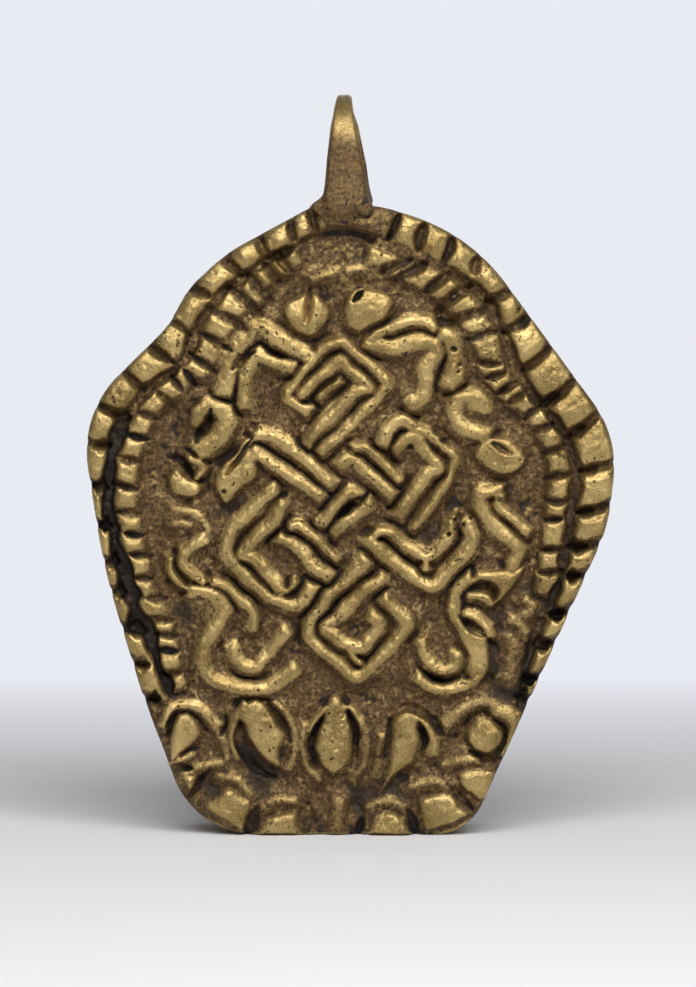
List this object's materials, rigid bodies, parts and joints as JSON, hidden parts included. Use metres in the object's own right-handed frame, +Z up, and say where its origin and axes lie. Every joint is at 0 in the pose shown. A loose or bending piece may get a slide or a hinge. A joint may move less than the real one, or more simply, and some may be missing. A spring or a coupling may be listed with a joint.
{
  "type": "ghau amulet box",
  "caption": "Small cast brass amulet box with an endless-knot relief face, toothed rim, lotus base, hanging loop and push-fit back lid over a charm chamber.",
  "frame": {"origin": "centre of the hanging loop's eye", "axes": "+Z up the height of the box, the relief face towards -Y, the lid towards +Y, +X to the right seen from the front and along the eye of the loop"},
  "size_m": [0.0395, 0.0091, 0.0556],
  "materials": {
    "cast_brass": "worn cast brass, polished crests over a dark granular ground",
    "loop_brass": "filed and worn brass",
    "sheet_brass": "dull aged brass",
    "lid_brass": "plain hammered brass with a brown patina",
    "lining_cloth": "dark red woven cotton",
    "charm_paper": "rolled hand-made paper, plain",
    "tie_thread": "twisted red cotton thread"
  },
  "bodies": {
    "case": {"face_casting": "cast_brass", "wall_band": "sheet_brass", "bail_strap": "loop_brass", "lining_pad": "lining_cloth", "prayer_scroll": "charm_paper", "scroll_tie": "tie_thread"},
    "lid": {"lid_plate": "lid_brass", "lid_skirt": "lid_brass"}
  },
  "joints": [
    {"name": "lid_pull", "type": "slide", "parent": "case", "child": "lid", "axis": [0, 1, 0], "range_m": [0, 0.012]}
  ]
}
